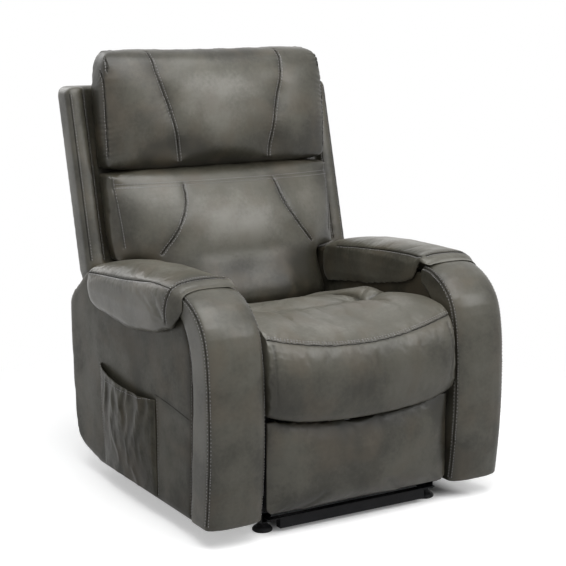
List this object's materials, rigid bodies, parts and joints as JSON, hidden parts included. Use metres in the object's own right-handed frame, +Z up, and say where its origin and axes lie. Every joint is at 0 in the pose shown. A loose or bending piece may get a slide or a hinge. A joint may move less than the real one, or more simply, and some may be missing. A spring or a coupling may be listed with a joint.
{
  "type": "lift recliner chair",
  "caption": "Upholstered power lift recliner with a tilting lift base, reclining winged back, lazy-tong footrest, pillow arms with waterfall fronts and a side pocket.",
  "frame": {"origin": "on the floor under the middle of the chair's bounding box", "axes": "+Z up, -Y the way the sitter faces, +X the sitter's left"},
  "size_m": [0.8726, 0.896, 1.084],
  "materials": {
    "leather": "satin grey-taupe leather, mottled, lighter on the crowns",
    "black_steel": "black powder coat",
    "zinc_steel": "zinc plated steel",
    "bright_rod": "bright rod",
    "black_plastic": "matte moulded plastic",
    "backing_cloth": "plywood under stapled black dust cloth"
  },
  "bodies": {
    "base": {"base_side_rails": "black_steel", "base_front_rail": "black_steel", "base_cross_tubes": "black_steel", "riser_plates": "black_steel", "levelling_feet": "black_plastic", "lift_motor_bracket": "black_steel"},
    "lower_lift": {"lower_lift_links": "zinc_steel", "lift_torque_tube": "black_steel"},
    "upper_lift": {"upper_lift_links": "zinc_steel"},
    "lift_motor": {"lift_motor": "black_plastic"},
    "lift_rod": {"lift_rod": "bright_rod"},
    "chassis": {"carrier_plates": "black_steel", "seat_side_tubes": "black_steel", "seat_cross_tubes": "black_steel", "seat_springs": "zinc_steel", "seat_cushion": "leather", "arm_panel_left": "leather", "arm_panel_right": "leather", "arm_band_left": "leather", "arm_band_right": "leather", "arm_pillow_left": "leather", "arm_pillow_right": "leather", "side_pocket": "leather", "rear_apron": "leather", "control_box": "black_plastic", "footrest_motor": "black_plastic", "recline_bracket": "black_steel"},
    "back": {"back_hinge_brackets": "black_steel", "back_torque_tube": "black_steel", "back_shell": "leather", "lumbar_cushion": "leather", "head_cushion": "leather"},
    "recline_motor": {"recline_motor": "black_plastic"},
    "recline_rod": {"recline_rod": "bright_rod"},
    "drive_links": {"footrest_drive_links": "zinc_steel", "footrest_torque_tube": "black_steel"},
    "long_links": {"footrest_long_links": "zinc_steel"},
    "cross_links": {"footrest_cross_links": "zinc_steel"},
    "front_links": {"footrest_front_links": "zinc_steel"},
    "footrest": {"footrest_brackets": "zinc_steel", "footrest_board": "backing_cloth", "footrest_pad": "leather"}
  },
  "joints": [
    {"name": "lift_raise", "type": "hinge", "parent": "base", "child": "lower_lift", "pos_m": [0, 0.193, 0.098], "axis": [-1, 0, 0], "range_deg": [0, 46]},
    {"name": "upper_lift_swing", "type": "hinge", "parent": "base", "child": "upper_lift", "pos_m": [0, 0.147, 0.174], "axis": [-1, 0, 0], "range_deg": [0, 49]},
    {"name": "chassis_tilt", "type": "hinge", "parent": "lower_lift", "child": "chassis", "pos_m": [0, -0.189, 0.101], "axis": [1, 0, 0], "range_deg": [0, 67]},
    {"name": "lift_motor_swing", "type": "hinge", "parent": "base", "child": "lift_motor", "pos_m": [0, -0.277, 0.072], "axis": [1, 0, 0], "range_deg": [-1.2, 0]},
    {"name": "lift_rod_slide", "type": "slide", "parent": "lift_motor", "child": "lift_rod", "axis": [0, 0.9806, 0.196], "range_m": [0, 0.052]},
    {"name": "back_recline", "type": "hinge", "parent": "chassis", "child": "back", "pos_m": [0, 0.165, 0.3], "axis": [-1, 0, 0], "range_deg": [0, 45]},
    {"name": "recline_motor_swing", "type": "hinge", "parent": "chassis", "child": "recline_motor", "pos_m": [0, -0.211, 0.24], "axis": [1, 0, 0], "range_deg": [0, 0.4]},
    {"name": "recline_rod_slide", "type": "slide", "parent": "recline_motor", "child": "recline_rod", "axis": [0, 0.9997, 0.0253], "range_m": [-0.041, 0]},
    {"name": "footrest_extend", "type": "hinge", "parent": "chassis", "child": "drive_links", "pos_m": [0, -0.2035, 0.215], "axis": [-1, 0, 0], "range_deg": [0, 100]},
    {"name": "long_link_swing", "type": "hinge", "parent": "drive_links", "child": "long_links", "pos_m": [0, -0.1334, 0.0918], "axis": [1, 0, 0], "range_deg": [0, 102]},
    {"name": "cross_link_swing", "type": "hinge", "parent": "chassis", "child": "cross_links", "pos_m": [0, -0.2978, 0.2847], "axis": [-1, 0, 0], "range_deg": [0, 99]},
    {"name": "front_link_swing", "type": "hinge", "parent": "cross_links", "child": "front_links", "pos_m": [0, -0.2205, 0.0981], "axis": [1, 0, 0], "range_deg": [0, 100]},
    {"name": "footrest_turn", "type": "hinge", "parent": "long_links", "child": "footrest", "pos_m": [0, -0.3701, 0.259], "axis": [-1, 0, 0], "range_deg": [0, 90]}
  ],
  "couplings": [
    {"joint": "upper_lift_swing", "follows": "lift_raise", "ratio": 1.0513},
    {"joint": "chassis_tilt", "follows": "lift_raise", "ratio": 1.4367},
    {"joint": "lift_motor_swing", "follows": "lift_raise", "ratio": -0.0225},
    {"joint": "lift_rod_slide", "follows": "lift_raise", "m_per_rad": 0.06391},
    {"joint": "recline_motor_swing", "follows": "back_recline", "ratio": 0.0058},
    {"joint": "recline_rod_slide", "follows": "back_recline", "m_per_rad": -0.05034},
    {"joint": "long_link_swing", "follows": "footrest_extend", "ratio": 1.011},
    {"joint": "cross_link_swing", "follows": "footrest_extend", "ratio": 0.976},
    {"joint": "front_link_swing", "follows": "footrest_extend", "ratio": 0.987},
    {"joint": "footrest_turn", "follows": "footrest_extend", "ratio": 0.891}
  ]
}
